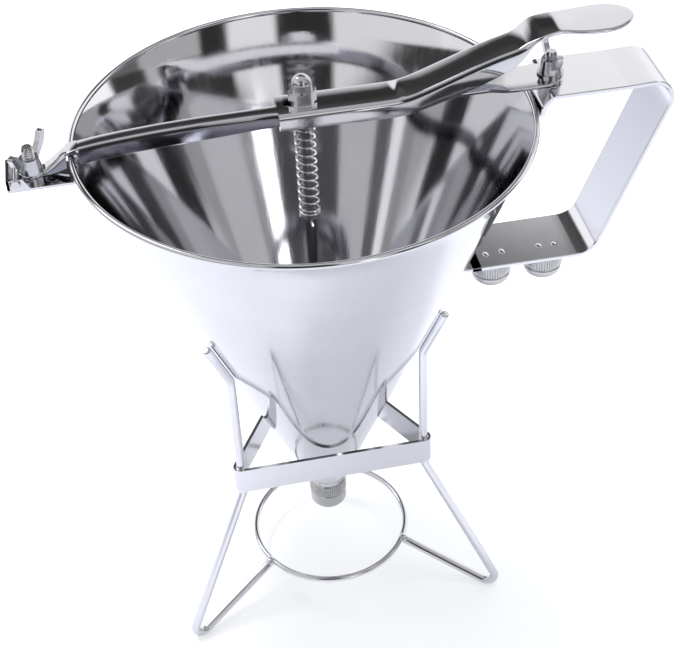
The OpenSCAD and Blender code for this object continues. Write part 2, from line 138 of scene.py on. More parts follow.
def round_the_axis(tree, coords, lengthwise):
    """Coordinates that run round the funnel's axis without a seam, and only slowly along it."""
    split = tree.nodes.new("ShaderNodeSeparateXYZ")
    tree.links.new(coords.link, split.inputs[0])
    x, y, z = (Sock(tree, split.outputs[k]) for k in range(3))
    flat = node(tree, "ShaderNodeCombineXYZ", values={0: x - AXIS_X, 1: y})
    ring = node(tree, "ShaderNodeVectorMath", {"operation": "NORMALIZE"}, {0: flat})
    rise = node(tree, "ShaderNodeCombineXYZ", values={2: z * lengthwise})
    return node(tree, "ShaderNodeVectorMath", {"operation": "ADD"}, {0: ring, 1: rise})


def steel(name, colour, rough, grain=(1, 1, 1), grain_scale=900, grain_rough=0.05, bump=0.05, tint=0.04,
          cloud=0.04, cloud_scale=25, turned=0):
    """Polished or satin steel: a soft cloudiness, a fine grain drawn out along one way, and a light bump."""
    material, tree = new_tree(name)
    coords = node(tree, "ShaderNodeTexCoord", out=3)
    if turned:
        drawn = round_the_axis(tree, coords, turned)
    else:
        drawn = node(tree, "ShaderNodeMapping", values={"Vector": coords, "Scale": grain})
    fine = node(tree, "ShaderNodeTexNoise", values={"Vector": drawn, "Scale": grain_scale, "Detail": 4.0})
    soft = node(tree, "ShaderNodeTexNoise", values={"Vector": coords, "Scale": cloud_scale, "Detail": 2.0})
    tone = (fine - 0.5) * 0.5 + soft
    base = mixed(tree, tone, [c * (1 - tint) for c in colour], [min(c * (1 + tint), 1) for c in colour])
    roughness = (fine - 0.5) * grain_rough + (soft - 0.5) * cloud + rough
    normal = node(tree, "ShaderNodeBump", values={"Height": fine, "Strength": bump, "Distance": 0.0001})
    shader = node(tree, "ShaderNodeBsdfPrincipled", values={
        "Base Color": base, "Metallic": 1.0, "Roughness": roughness, "Normal": normal})
    finish_tree(tree, shader)
    return material


# ---- Mesh helpers ----


def mesh_object(name, verts, faces, material=None, smooth=True):
    """An object of verts and faces in the scene."""
    mesh = bpy.data.meshes.new(name)
    mesh.from_pydata([tuple(v) for v in verts], [], faces)
    mesh.validate()
    if smooth:
        mesh.polygons.foreach_set("use_smooth", [True] * len(mesh.polygons))
    obj = bpy.data.objects.new(name, mesh)
    bpy.context.scene.collection.objects.link(obj)
    if material:
        mesh.materials.append(material)
    return obj


def paint(material, *names):
    """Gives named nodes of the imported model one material."""
    for name in names:
        obj = NODES[name]
        if not obj.data.materials:
            obj.data.materials.append(material)
        for slot in obj.material_slots:
            slot.material = material


# ---- Shapes ----


def turned(centre, profile, around=192):
    """Verts and faces of a closed profile of (radius, height) in mm turned about an upright axis."""
    ways = [(math.cos(2 * math.pi * i / around), math.sin(2 * math.pi * i / around)) for i in range(around)]
    verts = [at(centre[0] + r * c, centre[1] + r * s, centre[2] + z) for c, s in ways for r, z in profile]
    count = len(profile)
    faces = [(i * count + j, ((i + 1) % around) * count + j, ((i + 1) % around) * count + (j + 1) % count,
              i * count + (j + 1) % count) for i in range(around) for j in range(count)]
    return verts, faces


def lofted(rings, capped=True):
    """Verts and faces of rings of equal length joined one to the next."""
    count = len(rings[0])
    verts = [p for ring in rings for p in ring]
    faces = [(j * count + i, j * count + (i + 1) % count,
              (j + 1) * count + (i + 1) % count, (j + 1) * count + i)
             for j in range(len(rings) - 1) for i in range(count)]
    if capped:
        last = (len(rings) - 1) * count
        for i in range(count // 2 - 1):
            faces.append((count - 1 - i, count - 2 - i, i + 1, i))
            faces.append((last + i, last + i + 1, last + count - 2 - i, last + count - 1 - i))
    return verts, faces


def built(name, shape, material, body, node_name=None, sharp=35):
    """Makes one finished piece of verts and faces: smooth, outward, riding on its body."""
    verts, faces = shape
    obj = mesh_object(name, verts, faces)
    work = bmesh.new()
    work.from_mesh(obj.data)
    bmesh.ops.remove_doubles(work, verts=work.verts, dist=1e-7)
    bmesh.ops.recalc_face_normals(work, faces=work.faces)
    work.to_mesh(obj.data)
    work.free()
    obj.data.polygons.foreach_set("use_smooth", [True] * len(obj.data.polygons))
    obj.data.set_sharp_from_angle(angle=math.radians(sharp))
    obj.data.materials.append(material)
    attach(obj, body)
    if node_name:
        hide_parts(node_name)
    return obj


def joined(*shapes):
    """Several (verts, faces) as one."""
    verts, faces = [], []
    for more_verts, more_faces in shapes:
        start = len(verts)
        verts += list(more_verts)
        faces += [tuple(i + start for i in face) for face in more_faces]
    return verts, faces


def corner(a, p, b, r, count=14):
    """Points of an arc of radius r that rounds the corner p between a and b, all in a plane."""
    a, p, b = Vector(a), Vector(p), Vector(b)
    if r == 0:
        return [p]
    to_a, to_b = (a - p).normalized(), (b - p).normalized()
    half = to_a.angle(to_b) / 2
    centre = p + (to_a + to_b).normalized() * r / math.sin(half)
    start, end = p + to_a * r / math.tan(half) - centre, p + to_b * r / math.tan(half) - centre
    turn = start.angle_signed(end)
    out = []
    for i in range(count + 1):
        t = -turn * i / count
        out.append(centre + Vector((start.x * math.cos(t) - start.y * math.sin(t),
                                    start.x * math.sin(t) + start.y * math.cos(t))))
    return out


def rounded(points, radii, count=14):
    """The path through points with each corner rounded by its radius."""
    out = [Vector(points[0])]
    for i in range(1, len(points) - 1):
        out += corner(points[i - 1], points[i], points[i + 1], radii[i], count)
    return out + [Vector(points[-1])]


def sampled(path, step):
    """The path with more points, no further apart than step."""
    out = [path[0]]
    for a, b in zip(path, path[1:]):
        parts = max(1, math.ceil((b - a).length / step))
        out += [a + (b - a) * k / parts for k in range(1, parts + 1)]
    return out


def wire_shape(path, radius, sides):
    """A round wire along points in mm, its ends slightly rounded."""
    path = [Vector(p) for p in path]
    rings, side = [], None
    for i, p in enumerate(path):
        before = (path[i] - path[max(i - 1, 0)]) if i else (path[1] - path[0])
        after = (path[min(i + 1, len(path) - 1)] - path[i]) if i < len(path) - 1 else before
        along = (before.normalized() + after.normalized()).normalized()
        if side is None:
            side = along.cross(Vector((0, 0, 1)) if abs(along.z) < 0.9 else Vector((1, 0, 0))).normalized()
        side = (side - along * side.dot(along)).normalized()
        other = along.cross(side)
        rings.append((p, along, side, other, radius))
    p, along, side, other, r = rings[0]
    soft = radius * 0.3
    rings[0] = (p + along * soft, along, side, other, r)
    first = [(p + along * soft * (1 - math.cos(t)), along, side, other, r - soft + soft * math.sin(t))
             for t in (0, math.pi / 6, math.pi / 3)]
    p, along, side, other, r = rings[-1]
    rings[-1] = (p - along * soft, along, side, other, r)
    last = [(p - along * soft * (1 - math.cos(t)), along, side, other, r - soft + soft * math.sin(t))
            for t in (math.pi / 3, math.pi / 6, 0)]
    rings = first + rings + last
    made = [[at(*(p + (s * math.cos(2 * math.pi * i / sides) + o * math.sin(2 * math.pi * i / sides)) * r))
             for i in range(sides)] for p, _, s, o, r in rings]
    return lofted(made)


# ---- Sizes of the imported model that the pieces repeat, in millimetres from the funnel's axis ----

RIM_R, RIM_Z, TIP_R, TIP_Z = 93.8, 260.0, 9.1, 56.0
SLOPE = (RIM_R - 0.3 - TIP_R) / (RIM_Z - TIP_Z)
WALL_X = 1.0 / math.cos(math.atan(SLOPE))
BAR_TOP, BAR_T, LEVER_T = 268.0, 1.6, 1.5
NOTCH_Z = 261.5
LEVER_Z = BAR_TOP + 0.2 + LEVER_T


def cone_r(z):
    """Outer radius of the cone at height z."""
    return TIP_R + SLOPE * (z - TIP_Z)


# ---- Settings ----


class DispenserFinish(bpy.types.PropertyGroup):
    """Colour and roughness of the steels."""
    sheet_colour: bpy.props.FloatVectorProperty(
        name="Sheet colour", description="Colour of the polished cone, strip and band",
        subtype="COLOR", size=3, min=0, max=1, default=(0.80, 0.80, 0.83))
    sheet_rough: bpy.props.FloatProperty(
        name="Sheet roughness", description="Roughness of the polished sheet steel",
        default=0.075, min=0.02, max=0.6)
    wire_rough: bpy.props.FloatProperty(
        name="Wire roughness", description="Roughness of the drawn wire of legs and ring",
        default=0.16, min=0.02, max=0.6)


class DispenserStage(bpy.types.PropertyGroup):
    """Size of the floor."""
    floor_half: bpy.props.FloatProperty(
        name="Floor reach", description="Half size of the floor", default=6.0, min=1, unit="LENGTH")


class DispenserSizes(bpy.types.PropertyGroup):
    """Wire sizes."""
    leg_wire: bpy.props.FloatProperty(
        name="Leg wire", description="Thickness of the legs' wire",
        default=0.004, min=0.003, max=0.004, precision=4, unit="LENGTH")
    spring_wire: bpy.props.FloatProperty(
        name="Spring wire", description="Thickness of the return spring's wire",
        default=0.001, min=0.0006, max=0.0012, precision=4, unit="LENGTH")


# ---- Operators ----


class DISPENSER_OT_stage(bpy.types.Operator):
    """Add the floor, the soft lights, the world and the camera"""
    bl_idname = "dispenser.stage"
    bl_label = "Stage"

    def execute(self, context):
        half = context.scene.dispenser_stage.floor_half
        floor = mesh_object("floor", [(-half, -half, 0), (half, -half, 0), (half, half, 0), (-half, half, 0)],
                            [(0, 1, 2, 3)], floor_material())
        world_light(context)
        for name, place, aim, size, power, colour in LAMPS:
            lamp = bpy.data.lights.new(name, "AREA")
            lamp.shape, lamp.size, lamp.size_y = "RECTANGLE", size[0], size[1]
            lamp.energy, lamp.color = power, colour
            obj = bpy.data.objects.new(name, lamp)
            obj.location = place
            obj.rotation_euler = (Vector(aim) - Vector(place)).to_track_quat("-Z", "Y").to_euler()
            obj.visible_glossy = False
            context.scene.collection.objects.link(obj)
        add_camera(context)
        context.scene.view_settings.view_transform = "Standard"
        return {"FINISHED"}


# name, place, aim, size, power, colour
LAMPS = [
    ("key_left", (-0.45, 0.25, 2.1), (0, 0, 0.1), (0.3, 0.3), 14, (1.0, 1.0, 1.0)),
    ("overhead", (0.2, 0.3, 2.4), (0, 0, 0.1), (1.8, 1.4), 24, (0.98, 0.98, 1.0)),
]


def floor_material():
    """Pale floor with the object's soft shadow, and a glow though it is no lamp: white to the camera, with less
    glow near the object, a painted shade round it; and fading with distance in the steel, a painted light seen
    only in its reflections.
    """
    material, tree = new_tree("pale_floor")
    path = tree.nodes.new("ShaderNodeLightPath")
    camera, glossy = Sock(tree, path.outputs["Is Camera Ray"]), Sock(tree, path.outputs["Is Glossy Ray"])
    place = node(tree, "ShaderNodeTexCoord", out=3)
    reach = node(tree, "ShaderNodeVectorMath", {"operation": "LENGTH"}, {0: place}, out=1)
    far = node(tree, "ShaderNodeMapRange", values={0: reach, 1: 0.25, 2: 0.9})
    matt = node(tree, "ShaderNodeBsdfDiffuse", values={"Color": (0.76, 0.78, 0.85, 1)})
    # painted shade: the glow the camera sees is 0.47 near the object and rises to 0.9 farther out, so the floor
    # darkens round the object
    beyond = node(tree, "ShaderNodeMapRange", values={0: reach, 1: 0.12, 2: 0.36})
    lit = mixed(tree, beyond, (0.47, 0.47, 0.44), (0.9, 0.9, 0.9))
    glow_seen_by_camera = node(tree, "ShaderNodeEmission", values={"Color": lit})
    # painted light: a glow that only the steel's reflections see, 0.22 near the object, fading to none farther out
    faded = mixed(tree, far, (0.22, 0.22, 0.22), (0, 0, 0))
    glow_seen_in_steel = node(tree, "ShaderNodeEmission", values={"Color": faded})
    seen = node(tree, "ShaderNodeAddShader", values={0: matt, 1: glow_seen_by_camera})
    mirrored = node(tree, "ShaderNodeAddShader", values={0: matt, 1: glow_seen_in_steel})
    shader = node(tree, "ShaderNodeMixShader", values={0: glossy, 1: matt, 2: mirrored})
    shader = node(tree, "ShaderNodeMixShader", values={0: camera, 1: shader, 2: seen})
    finish_tree(tree, shader)
    return material


def banded(stops):
    """Ramp stops for hard-edged bands round the horizon: (start in degrees from the front, grey)."""
    out = []
    for i, (start, value) in enumerate(stops):
        place = 0.5 + start / 360
        if i:
            out.append((max(place - 0.004, 0), (stops[i - 1][1],) * 3))
            place += 0.004
        out.append((min(max(place, 0), 1), (value,) * 3))
    return out


# What the steel mirrors, as (degrees from the front, grey), from the left round the front to the right.
# The back is at -180 and 180 degrees. There is one ring for low, one for middle and one for high directions.
ROUND_LOW = [
    (-180, 0.10), (-140, 0.6), (-110, 0.05), (13, 2.2), (20, 0.04), (70, 0.5), (78, 0.05), (100, 1.1), (179, 0.10)]
ROUND_MIDDLE = [
    (-180, 0.05), (-125, 0.9), (-84, 0.8), (-26, 0.03), (4, 0.85), (30, 0.03), (45, 0.45), (80, 0.14), (100, 1.05),
    (165, 0.04)]
ROUND_HIGH = [
    (-180, 0.08), (-142, 4.5), (-122, 0.38), (-104, 0.62), (-54, 0.40), (-32, 0.07), (2, 0.48), (30, 0.36),
    (46, 1.1), (60, 0.14), (80, 0.6), (127, 0.09)]


def world_light(context):
    """A plain studio: pale panels round the table, a dark room over and between them."""
    world = bpy.data.worlds.new("studio")
    world.use_nodes = True
    context.scene.world = world
    tree = world.node_tree
    tree.nodes.clear()
    way = node(tree, "ShaderNodeTexCoord", out=0)
    split = tree.nodes.new("ShaderNodeSeparateXYZ")
    tree.links.new(way.link, split.inputs[0])
    x, y, height = (Sock(tree, split.outputs[k]) for k in range(3))
    turn = node(tree, "ShaderNodeMath", {"operation": "ARCTAN2"}, {0: x, 1: 0 - y}) * (1 / (2 * math.pi)) + 0.5
    low, middle, high = (node(tree, "ShaderNodeValToRGB", {"stops": banded(ring)}, {"Fac": turn})
                         for ring in (ROUND_LOW, ROUND_MIDDLE, ROUND_HIGH))
    over_low = node(tree, "ShaderNodeMapRange", values={0: height, 1: 0.19, 2: 0.22})
    over_middle = node(tree, "ShaderNodeMapRange", values={0: height, 1: 0.57, 2: 0.62})
    rear = node(tree, "ShaderNodeMapRange", values={0: y, 1: 0.6, 2: 0.7})
    under = node(tree, "ShaderNodeMapRange", values={0: height, 1: 0.50, 2: 0.42})
    seen = mixed(tree, over_low, low, middle)
    seen = mixed(tree, rear * under, seen, (1.1, 1.1, 1.12))
    seen = mixed(tree, over_middle, seen, high)
    overhead = node(tree, "ShaderNodeMapRange", values={0: height, 1: 0.86, 2: 0.92})
    seen = mixed(tree, overhead, seen, (0.55, 0.55, 0.58))
    path = tree.nodes.new("ShaderNodeLightPath")
    seen = mixed(tree, Sock(tree, path.outputs["Is Camera Ray"]), seen, (1, 1, 1))
    back = tree.nodes.new("ShaderNodeBackground")
    tree.links.new(seen.link, back.inputs["Color"])
    output = tree.nodes.new("ShaderNodeOutputWorld")
    tree.links.new(back.outputs[0], output.inputs["Surface"])


def add_camera(context):
    """The photograph's view, solved from its lines."""
    az, el, roll = (math.radians(a) for a in (-10.04, 39.73, -2.15))
    back = Vector((math.sin(az) * math.cos(el), -math.cos(az) * math.cos(el), math.sin(el)))
    right = (-back).cross(Vector((0, 0, 1))).normalized()
    up = right.cross(-back)
    tilted_right = right * math.cos(roll) + up * math.sin(roll)
    tilted_up = up * math.cos(roll) - right * math.sin(roll)
    camera = bpy.data.cameras.new("photo_view")
    camera.lens, camera.sensor_width, camera.sensor_fit = 75.74, 36, "HORIZONTAL"
    camera.shift_x, camera.shift_y = -0.0377, -0.0429
    camera.clip_start, camera.clip_end = 0.01, 50
    obj = bpy.data.objects.new("photo_view", camera)
    obj.matrix_world = Matrix.Translation(at(-63.5, -486.5, 575.5)) @ Matrix(
        (tilted_right, tilted_up, back)).transposed().to_4x4()
    context.scene.collection.objects.link(obj)
    context.scene.camera = obj


class DISPENSER_OT_metal(bpy.types.Operator):
    """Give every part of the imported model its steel"""
    bl_idname = "dispenser.metal"
    bl_label = "Steel finishes"

    def execute(self, context):
        s = context.scene.dispenser_finish
        colour = tuple(s.sheet_colour)
        rough = s.sheet_rough
        # painted shade: a darker copy of the sheet colour, 0.86 of it, given to the lever, crossbar and bracket so
        # that they look darker
        dark = tuple(c * 0.86 for c in colour)
        for name, *look in (
                ("polished_strip", colour, rough * 1.8, (1, 14, 1), 600, 0.06, 0.03, 0.04, 0.10),
                # painted shade: the darkened copy of the sheet steel
                ("dark_strip", dark, rough * 0.7, (1, 14, 1), 600, 0.04, 0.02),
                # painted shade: a near-black bluish steel for the sides of the crossbar's flanges
                ("flange_steel", (0.24, 0.24, 0.28), 0.12, (1, 14, 1), 600, 0.04, 0.02),
                ("rod_steel", (0.42, 0.42, 0.44), 0.16, (1, 1, 8), 900, 0.05, 0.04),
                ("spring_wire", (0.93, 0.93, 0.93), 0.12, (2, 2, 2), 1500, 0.04, 0.02),
                ("knurled_steel", (0.60, 0.60, 0.59), 0.30, (1, 1, 20), 500, 0.1, 0.1),
                ("drawn_wire", colour, s.wire_rough, (2, 2, 2), 1500, 0.06, 0.05),
                ("turned_steel", (0.66, 0.66, 0.68), 0.2, (1, 1, 30), 500, 0.08, 0.08)):
            MATERIALS[name] = steel(name, *look)
        MATERIALS["polished_cone"] = steel("polished_cone", colour, rough, grain_scale=42, grain_rough=0.08,
                                           bump=0.07, cloud=0.06, tint=0.06, turned=3.0)
        for material, nodes in FINISHES.items():
            paint(MATERIALS[material], *nodes)
        return {"FINISHED"}


MATERIALS = {}
FINISHES = {
    "polished_cone": ("funnel_cone", "outlet_tube"),
    "polished_strip": ("handle", "clamp_bracket", "crossbar", "thumb_lever", "stand_band"),
    "drawn_wire": ("leg_left", "leg_right", "leg_rear", "stand_ring", "cotter_pin"),
    "rod_steel": ("plunger_rod",),
    "spring_wire": ("rod_spring",),
    "turned_steel": ("nozzle_fitted", "spare_inner", "spare_outer", "stud_inner", "stud_outer", "acorn_nut",
                     "valve_plug", "left_wing_nut", "right_wing_nut", "left_stud", "right_stud", "left_washer",
                     "right_washer", "spring_washer", "bracket_pin"),
}


class DISPENSER_OT_cone(bpy.types.Operator):
    """Turn the polished cone with its rolled rim"""
    bl_idname = "dispenser.cone"
    bl_label = "Cone and rim"

    def execute(self, context):
        steps, bead_r = 40, 1.2
        heights = [TIP_Z + (RIM_Z - TIP_Z) * i / steps for i in range(steps + 1)]
        outer = [(cone_r(z), z) for z in heights]
        inner = [(cone_r(z) - WALL_X, z) for z in reversed(heights)]
        bead = [(RIM_R + bead_r * math.cos(a), RIM_Z + bead_r * math.sin(a))
                for a in [math.radians(-98 + 316 * i / 20) for i in range(21)]]
        profile = outer[:-1] + bead + inner[1:]
        built("cone_shell", turned((0, 0, 0), profile, 256), MATERIALS["polished_cone"],
              "funnel", "funnel_cone", sharp=50)
        return {"FINISHED"}


class DISPENSER_OT_wires(bpy.types.Operator):
    """Bend the legs and their feet from round wire"""
    bl_idname = "dispenser.wires"
    bl_label = "Legs"

    def execute(self, context):
        wire = context.scene.dispenser_sizes.leg_wire / MM / 2
        band_side, band_t, clear = 98.5, 1.5, 0.05
        leg_x = 2 * (band_side / (2 * math.tan(math.radians(60))) - band_t - wire - clear)
        lean = (wire + 0.3) / math.cos(math.atan(SLOPE))
        bend_z = TIP_Z + (leg_x - lean - TIP_R) / SLOPE
        tip_z, bend, centre = 173.0, 5.0, Vector((84.2 - 2.5, wire + 5.0))
        knee, hub, ring_gap = Vector((leg_x, 79.0)), Vector((37.9, 19.1)), 1.42

        def swung(v, degrees):
            """The vector turned in its plane."""
            a = math.radians(degrees)
            return Vector((v.x * math.cos(a) - v.y * math.sin(a), v.x * math.sin(a) + v.y * math.cos(a)))

        to_knee = -swung((centre - knee).normalized(), math.degrees(math.asin(bend / (centre - knee).length)))
        to_hub = -swung((centre - hub).normalized(), -math.degrees(math.asin(bend / (centre - hub).length)))
        foot = centre - (to_knee + to_hub).normalized() * bend / math.sin(to_knee.angle(to_hub) / 2)
        flat = rounded([(cone_r(tip_z) + lean, tip_z), (leg_x, bend_z), knee, foot, hub - to_hub * ring_gap],
                       [0, 6, 6, bend, 0])
        flat = sampled(flat, 12)
        for name, angle in (("leg_left", 210), ("leg_right", 330), ("leg_rear", 90)):
            a = math.radians(angle)
            path = [(p.x * math.cos(a), p.x * math.sin(a), p.y) for p in flat]
            built(name.replace("leg", "wire_leg"), wire_shape(path, wire, 24), MATERIALS["drawn_wire"],
                  "stand", name, sharp=60)
        return {"FINISHED"}


def strip_shape(path, half, thick, edge=0.35, hug=None, across=9):
    """A bent strip: path of (x, z) in mm, its left side outward, with softly rounded edges.
    hug gives, at each point, how far the strip follows the cone's roundness (0 to 1)."""
    rings = []
    for i, p in enumerate(path):
        a = (path[i] - path[i - 1]).normalized() if i else (path[1] - path[0]).normalized()
        b = (path[i + 1] - path[i]).normalized() if i < len(path) - 1 else a
        m = (a + b).normalized()
        normal = Vector((-m.y, m.x)) / max(m.dot(a), 0.5)
        ys = [-half + edge + (2 * half - 2 * edge) * k / (across - 1) for k in range(across)]
        top = [(-half, edge)] + [(y, 0.0) for y in ys] + [(half, edge)]
        low = [(half, thick - edge)] + [(y, thick) for y in reversed(ys)] + [(-half, thick - edge)]
        ring = []
        for y, depth in top + low:
            x, z = p.x - normal.x * depth, p.y - normal.y * depth
            pull = hug[i] if hug else 0
            if pull:
                x += pull * (math.sqrt(max(x * x - y * y, 0)) - x)
            ring.append(at(x, y, z))
        rings.append(ring)
    return lofted(rings)


class DISPENSER_OT_handle(bpy.types.Operator):
    """Bend the handle from one strip, with its flange under the rim and its tab up the cone"""
    bl_idname = "dispenser.handle"
    bl_label = "Handle"

    def execute(self, context):
        rim, top, leg, half, thick = 95.0, 266.4, 181.0, 15.2, 2.0
        flange_low, flange_top, tab_top = 242, 255.5, 205
        path = sampled(rounded(
            [(cone_r(flange_low), flange_low), (cone_r(flange_top) + 0.1, flange_top), (rim + 0.1, 258.7),
             (rim + 0.3, 261.4), (rim + 5, top), (132, top), (157.0, top + 1.0), (122.9, leg), (68, leg)],
            [0, 2.6, 0.5, 3, 3, 3, 9.5, 11.5, 0]), 4)
        hug = [1.0 if p.y < 256 and p.x < 96 and i < len(path) / 2 else 0.0 for i, p in enumerate(path)]
        hug = [sum(hug[max(0, i - 2):i + 3]) / len(hug[max(0, i - 2):i + 3]) for i in range(len(hug))]
        main = strip_shape(path, half, thick, hug=hug)
        tab_path = sampled(rounded(
            [(72, leg), (cone_r(leg) + 0.2, leg), (cone_r(tab_top) + 0.05, tab_top)], [0, 0.8, 0]), 4)
        tab_hug = [min(1.0, max(0.0, (68 - p.x) / 5)) if p.y < leg + 4 else 1.0 for p in tab_path]
        tab = strip_shape(tab_path, half, thick, hug=tab_hug)
        built("handle_strip", joined(main, tab), MATERIALS["polished_strip"], "funnel",
              "handle")
        return {"FINISHED"}


def channel_ring(x, top, half, depth, fold, thick, arc=8):
    """The outline of a folded channel, in mm."""
    r = min(fold, depth * 0.5)
    q = max(r - thick, 0.12)
    e = min(0.35, depth * 0.2)
    out = [(-half + e, top - depth), (-half, top - depth + e)]
    out += [(-half + r - r * math.cos(math.pi / 2 * i / arc), top - r + r * math.sin(math.pi / 2 * i / arc))
            for i in range(arc + 1)]
    out += [(half - r + r * math.sin(math.pi / 2 * i / arc), top - r + r * math.cos(math.pi / 2 * i / arc))
            for i in range(arc + 1)]
    out += [(half, top - depth + e), (half - e, top - depth), (half - thick, top - depth)]
    inner_x, inner_z = half - thick - q, top - thick - q
    out += [(inner_x + q * math.cos(math.pi / 2 * i / arc), inner_z + q * math.sin(math.pi / 2 * i / arc))
            for i in range(arc + 1)]
    out += [(-inner_x - q * math.sin(math.pi / 2 * i / arc), inner_z + q * math.cos(math.pi / 2 * i / arc))
            for i in range(arc + 1)]
    out += [(-half + thick, top - depth)]
    return [at(x, y, z) for y, z in out]


def eased(rows, step, reach):
    """Rows of (x, values...) sampled evenly, with their corners eased over reach."""
    def value(x, k):
        for a, b in zip(rows, rows[1:]):
            if x <= b[0]:
                return a[k] + (b[k] - a[k]) * (x - a[0]) / (b[0] - a[0])
        return rows[-1][k]
    low, high = rows[0][0], rows[-1][0]
    count = max(2, round((high - low) / step))
    out = []
    for i in range(count + 1):
        x = low + (high - low) * i / count
        r = min(reach, x - low, high - x)
        near = [x + r * t / 3 for t in range(-3, 4)]
        out.append((x, *(sum(value(n, k) for n in near) / 7 for k in range(1, len(rows[0])))))
    return out


# Sections of the thumb lever, from its left end: place along x, rise, half width, depth, in mm
LEVER_ROWS = [
    (-10.8, 0, 8.8, 7.1), (20, 0, 8.8, 7.5), (34, 0, 8.8, 7.7), (38, 0.15, 8.8, 7.8), (42, 0.8, 8.8, 8),
    (46, 1.9, 8.8, 8.2), (50, 3.3, 8.8, 8.5), (56, 5.5, 8.8, 8.9), (64, 8.5, 8.8, 9.4), (71, 11.1, 8.8, 9.5),
    (79, 13.7, 8.8, 8.7), (85, 15.3, 8.8, 7.5), (88, 16.2, 8.8, 6.3), (90.5, 17.9, 8.8, 4.4),
    (93, 19.45, 9.1, 2.2), (95.5, 20.75, 9.3, 1.65), (99, 21.5, 8.8, 1.65), (104.5, 22.2, 8.5, 1.65),
    (107, 22, 8.8, 1.65), (111, 21.6, 9.7, 1.65), (116, 21.5, 10.5, 1.65), (123, 21.6, 11, 1.65),
    (128, 21.7, 10.1, 1.65), (131.5, 21.9, 8.2, 1.65), (134, 22.1, 6, 1.65), (135.4, 22.2, 3.9, 1.65),
    (136, 22.2, 2.4, 1.65)]
# Sections of the crossbar's channel: place along x, drop, half width, depth
BAR_ROWS = [
    (-104.4, 12.2, 4, 2.3), (-102, 10.7, 4, 3.4), (-100, 9, 4, 4.6), (-98, 7.2, 4, 5.8), (-96, 5.6, 4, 6.8),
    (-94, 4.7, 4, 7), (-92, 4.2, 4, 7.2), (-85, 3.1, 4, 7.4), (-75, 2.1, 4, 7.5), (-60, 1, 4, 7.5),
    (-42, 0.3, 4, 7.4), (-18, 0, 4, 6.4), (-10.4, 0, 4.4, 6), (-5.5, 0, 6.7, 5.2), (3, 0, 6.8, 4.4),
    (14, 0.03, 6.3, 2)]
# Plans of the crossbar's flat end and of its left tongue: place along x, half width
BAR_FLAT = [(12, 6), (15, 6.8), (76, 6.8), (83, 9), (100, 9), (103, 8.7), (105.5, 7.2), (107, 5), (108, 2.7)]
BAR_TONGUE = [(-115.2, 1.2), (-114.6, 2.4), (-113.4, 3.9), (-111.7, 4.9), (-110, 5.2), (-108.3, 4.9),
              (-106.6, 3.95), (-103.2, 3.9)]


def cut(obj, cutter_shape, name):
    """Takes a shape out of a piece for good."""
    cutter = mesh_object(name, *cutter_shape, smooth=False)
    work = bmesh.new()
    work.from_mesh(cutter.data)
    bmesh.ops.recalc_face_normals(work, faces=work.faces)
    work.to_mesh(cutter.data)
    work.free()
    cutting = obj.modifiers.new("cut", "BOOLEAN")
    cutting.operation, cutting.solver, cutting.object = "DIFFERENCE", "EXACT", cutter
    bpy.context.view_layer.update()
    made = bpy.data.meshes.new_from_object(obj.evaluated_get(bpy.context.evaluated_depsgraph_get()))
    obj.modifiers.clear()
    obj.data = made
    bpy.data.objects.remove(cutter)
    made.polygons.foreach_set("use_smooth", [True] * len(made.polygons))
    made.set_sharp_from_angle(angle=math.radians(35))


def prism(outline, low, high, along="z"):
    """An upright (or, along y, a lying) prism of an outline in mm."""
    if along == "z":
        rings = [[at(x, y, z) for x, y in outline] for z in (low, high)]
    else:
        rings = [[at(x, y, z) for x, z in outline] for y in (low, high)]
    verts, faces = lofted(rings, False)
    count = len(outline)
    return verts, faces + [tuple(range(count)), tuple(range(2 * count - 1, count - 1, -1))]


class DISPENSER_OT_lever(bpy.types.Operator):
    """Fold the thumb lever, with its slot round the rod and the pressed bead at its bend"""
    bl_idname = "dispenser.lever"
    bl_label = "Thumb lever"

    def execute(self, context):
        rings = [channel_ring(x, LEVER_Z + rise, half, depth, 2.4, LEVER_T)
                 for x, rise, half, depth in eased(LEVER_ROWS, 0.4, 2.0)]
        for ring in rings:
            for i, p in enumerate(ring):
                x, y = (p.x - AXIS_X) / MM, p.y / MM
                if abs(y) < 7:
                    press = 0.55 * math.exp(-((x - 38.5 - 2.2 * math.sin(y * 0.55)) / 1.3) ** 2)
                    ring[i] = p + Vector((0, 0, press * MM * (1 - (y / 7) ** 4)))
        # painted shade: the lever gets the darkened copy of the sheet steel
        lever = built("lever_sheet", lofted(rings), MATERIALS["dark_strip"],
                      "lever", "thumb_lever")
        radius = 2.5
        slot = []
        for x, start in ((-5.5, 90), (3.5, -90)):
            slot += [(x + radius * math.cos(a), radius * math.sin(a))
                     for a in [math.radians(start + 15 * i) for i in range(13)]]
        cut(lever, prism(slot, LEVER_Z - 5, LEVER_Z + 5), "slot_cutter")
        return {"FINISHED"}


class DISPENSER_OT_crossbar(bpy.types.Operator):
    """Fold the crossbar from its left tongue to its flat right end"""
    bl_idname = "dispenser.crossbar"
    bl_label = "Crossbar"

    def execute(self, context):
        rings = []
        for x, drop, half, depth in eased(BAR_ROWS, 0.6, 2.5):
            if -95.8 < x < -91.0:
                depth = min(depth, BAR_TOP - drop - NOTCH_Z)
            rings.append(channel_ring(x, BAR_TOP - drop, half, depth, 2.2, BAR_T))
        channel = lofted(rings)
        flat = lofted([channel_ring(x, BAR_TOP, half, BAR_T + 0.01, 0.8, BAR_T - 0.3)
                       for x, half in eased(BAR_FLAT, 1.2, 1.0)])
        tongue = lofted([channel_ring(x, 255.0, half, BAR_T + 0.01, 0.8, BAR_T - 0.3)
                         for x, half in eased(BAR_TONGUE, 0.6, 0.3)])
        # painted shade: the crossbar gets the darkened copy of the sheet steel
        bar = built("crossbar_sheet", joined(channel, flat, tongue), MATERIALS["dark_strip"],
                    "funnel", "crossbar")
        # painted shade: faces that look along y, the sides of the flanges, get the near-black bluish steel
        bar.data.materials.append(MATERIALS["flange_steel"])
        for face in bar.data.polygons:
            if abs(face.normal.y) > 0.9:
                face.material_index = 1
        return {"FINISHED"}


